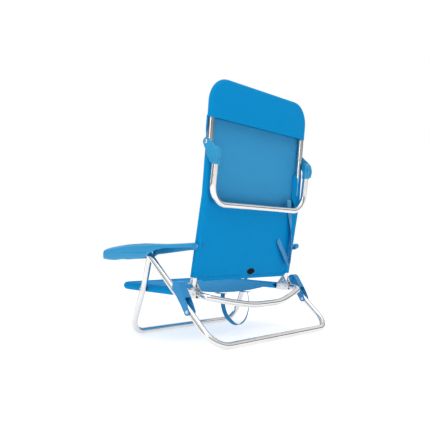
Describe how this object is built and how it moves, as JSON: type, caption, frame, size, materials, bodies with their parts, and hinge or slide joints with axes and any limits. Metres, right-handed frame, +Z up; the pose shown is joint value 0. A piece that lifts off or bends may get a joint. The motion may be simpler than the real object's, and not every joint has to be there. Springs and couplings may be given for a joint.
{
  "type": "folding beach chair",
  "caption": "Low folding beach chair with high reclining back, blue mesh sling, aluminium tube frame, plastic armrests, carry straps and a swing-out support bail.",
  "frame": {"origin": "centre of the bounding box at floor level, with the chair standing on its two floor bars", "axes": "+Z up, the sitter faces -Y, +X towards the sitter's left"},
  "size_m": [0.638, 0.521, 0.8085],
  "materials": {
    "frame_tube": "bright anodised tube",
    "bracket_plate": "bright folded plate",
    "fastener": "zinc-plated rivets, bolts and pins",
    "mesh_fabric": "woven coated mesh",
    "plain_fabric": "plain woven coated fabric",
    "foam": "open-cell foam",
    "webbing": "flat webbing",
    "tag": "plain woven tag",
    "plastic_blue": "moulded, satin gloss",
    "plastic_rack": "moulded, matt",
    "plastic_dark": "moulded, matt"
  },
  "bodies": {
    "seat": {"seat_frame_tube": "frame_tube", "seat_crossbar": "frame_tube", "seat_sling": "mesh_fabric", "hinge_bracket_left": "bracket_plate", "hinge_bracket_right": "bracket_plate", "hinge_bracket_rivets": "fastener", "crossbar_rivets": "fastener", "front_leg_pivot_rivets": "fastener", "front_leg_pivot_washers": "plastic_dark", "hinge_bolts": "fastener", "link_pivot_spacers": "plastic_blue", "seat_strap_loop": "webbing"},
    "back_hinge": {"back_hinge_bushings": "plastic_dark"},
    "back": {"back_frame_tube": "frame_tube", "back_tube_plugs": "plastic_dark", "back_sling": "mesh_fabric", "back_sleeve_left": "plain_fabric", "back_sleeve_right": "plain_fabric", "back_rear_pocket": "plain_fabric", "headrest_hood": "plain_fabric", "headrest_foam": "foam", "back_shoulder_strap": "webbing", "plain_sewn_tag": "tag", "sleeve_press_studs": "plastic_rack", "bail_pivot_rivets": "fastener"},
    "bail": {"support_bail_tube": "frame_tube", "bail_elbow_left": "plastic_blue", "bail_elbow_right": "plastic_blue"},
    "front_legs": {"front_leg_tube": "frame_tube", "front_leg_end_plugs": "plastic_dark", "front_leg_hub_pins": "fastener"},
    "link_left": {"leg_link_left": "plastic_blue"},
    "link_right": {"leg_link_right": "plastic_blue"},
    "rear_legs": {"rear_leg_tube": "frame_tube", "rear_leg_end_plugs": "plastic_dark", "rear_leg_hub_pins": "fastener", "link_lower_rivets": "fastener"},
    "arm_pin_left": {"armrest_pin_left": "fastener"},
    "arm_pin_right": {"armrest_pin_right": "fastener"},
    "arm_left": {"armrest_left": "plastic_blue", "position_rack_left": "plastic_rack"},
    "arm_right": {"armrest_right": "plastic_blue", "position_rack_right": "plastic_rack"}
  },
  "joints": [
    {"name": "fold", "type": "hinge", "parent": "seat", "child": "back_hinge", "pos_m": [0, 0.1025, 0.1745], "axis": [-1, 0, 0], "range_deg": [-94, 0]},
    {"name": "recline", "type": "hinge", "parent": "back_hinge", "child": "back", "pos_m": [0, 0.1025, 0.1745], "axis": [-1, 0, 0], "range_deg": [0, 78]},
    {"name": "bail_swing", "type": "hinge", "parent": "back", "child": "bail", "pos_m": [0, 0.17191, 0.61], "axis": [1, 0, 0], "range_deg": [0, 86]},
    {"name": "front_leg_fold", "type": "hinge", "parent": "seat", "child": "front_legs", "pos_m": [0, -0.10088, 0.157], "axis": [-1, 0, 0], "range_deg": [-101.01, 0]},
    {"name": "link_left_fold", "type": "hinge", "parent": "seat", "child": "link_left", "pos_m": [0, 0.1025, 0.1745], "axis": [-1, 0, 0], "range_deg": [0, 95.79]},
    {"name": "link_right_fold", "type": "hinge", "parent": "seat", "child": "link_right", "pos_m": [0, 0.1025, 0.1745], "axis": [-1, 0, 0], "range_deg": [0, 95.79]},
    {"name": "rear_leg_fold", "type": "hinge", "parent": "link_left", "child": "rear_legs", "pos_m": [0, 0.14847, 0.1035], "axis": [-1, 0, 0], "range_deg": [-127.88, 0]},
    {"name": "arm_pin_left_fold", "type": "hinge", "parent": "back", "child": "arm_pin_left", "pos_m": [0, 0.12599, 0.2965], "axis": [-1, 0, 0], "range_deg": [0, 102.01]},
    {"name": "arm_pin_right_fold", "type": "hinge", "parent": "back", "child": "arm_pin_right", "pos_m": [0, 0.12599, 0.2965], "axis": [-1, 0, 0], "range_deg": [0, 102.01]},
    {"name": "arm_left_tilt", "type": "hinge", "parent": "arm_pin_left", "child": "arm_left", "pos_m": [0, 0.12599, 0.2965], "axis": [-1, 0, 0], "range_deg": [-53.65, 0]},
    {"name": "arm_right_tilt", "type": "hinge", "parent": "arm_pin_right", "child": "arm_right", "pos_m": [0, 0.12599, 0.2965], "axis": [-1, 0, 0], "range_deg": [-53.65, 0]}
  ],
  "couplings": [
    {"joint": "front_leg_fold", "follows": "fold", "ratio": 1.0745},
    {"joint": "link_left_fold", "follows": "fold", "ratio": -1.0189},
    {"joint": "link_right_fold", "follows": "fold", "ratio": -1.0189},
    {"joint": "rear_leg_fold", "follows": "fold", "ratio": 1.3603},
    {"joint": "arm_pin_left_fold", "follows": "fold", "ratio": -1.0851},
    {"joint": "arm_pin_right_fold", "follows": "fold", "ratio": -1.0851},
    {"joint": "arm_left_tilt", "follows": "recline", "ratio": -0.68769},
    {"joint": "arm_right_tilt", "follows": "recline", "ratio": -0.68769}
  ]
}
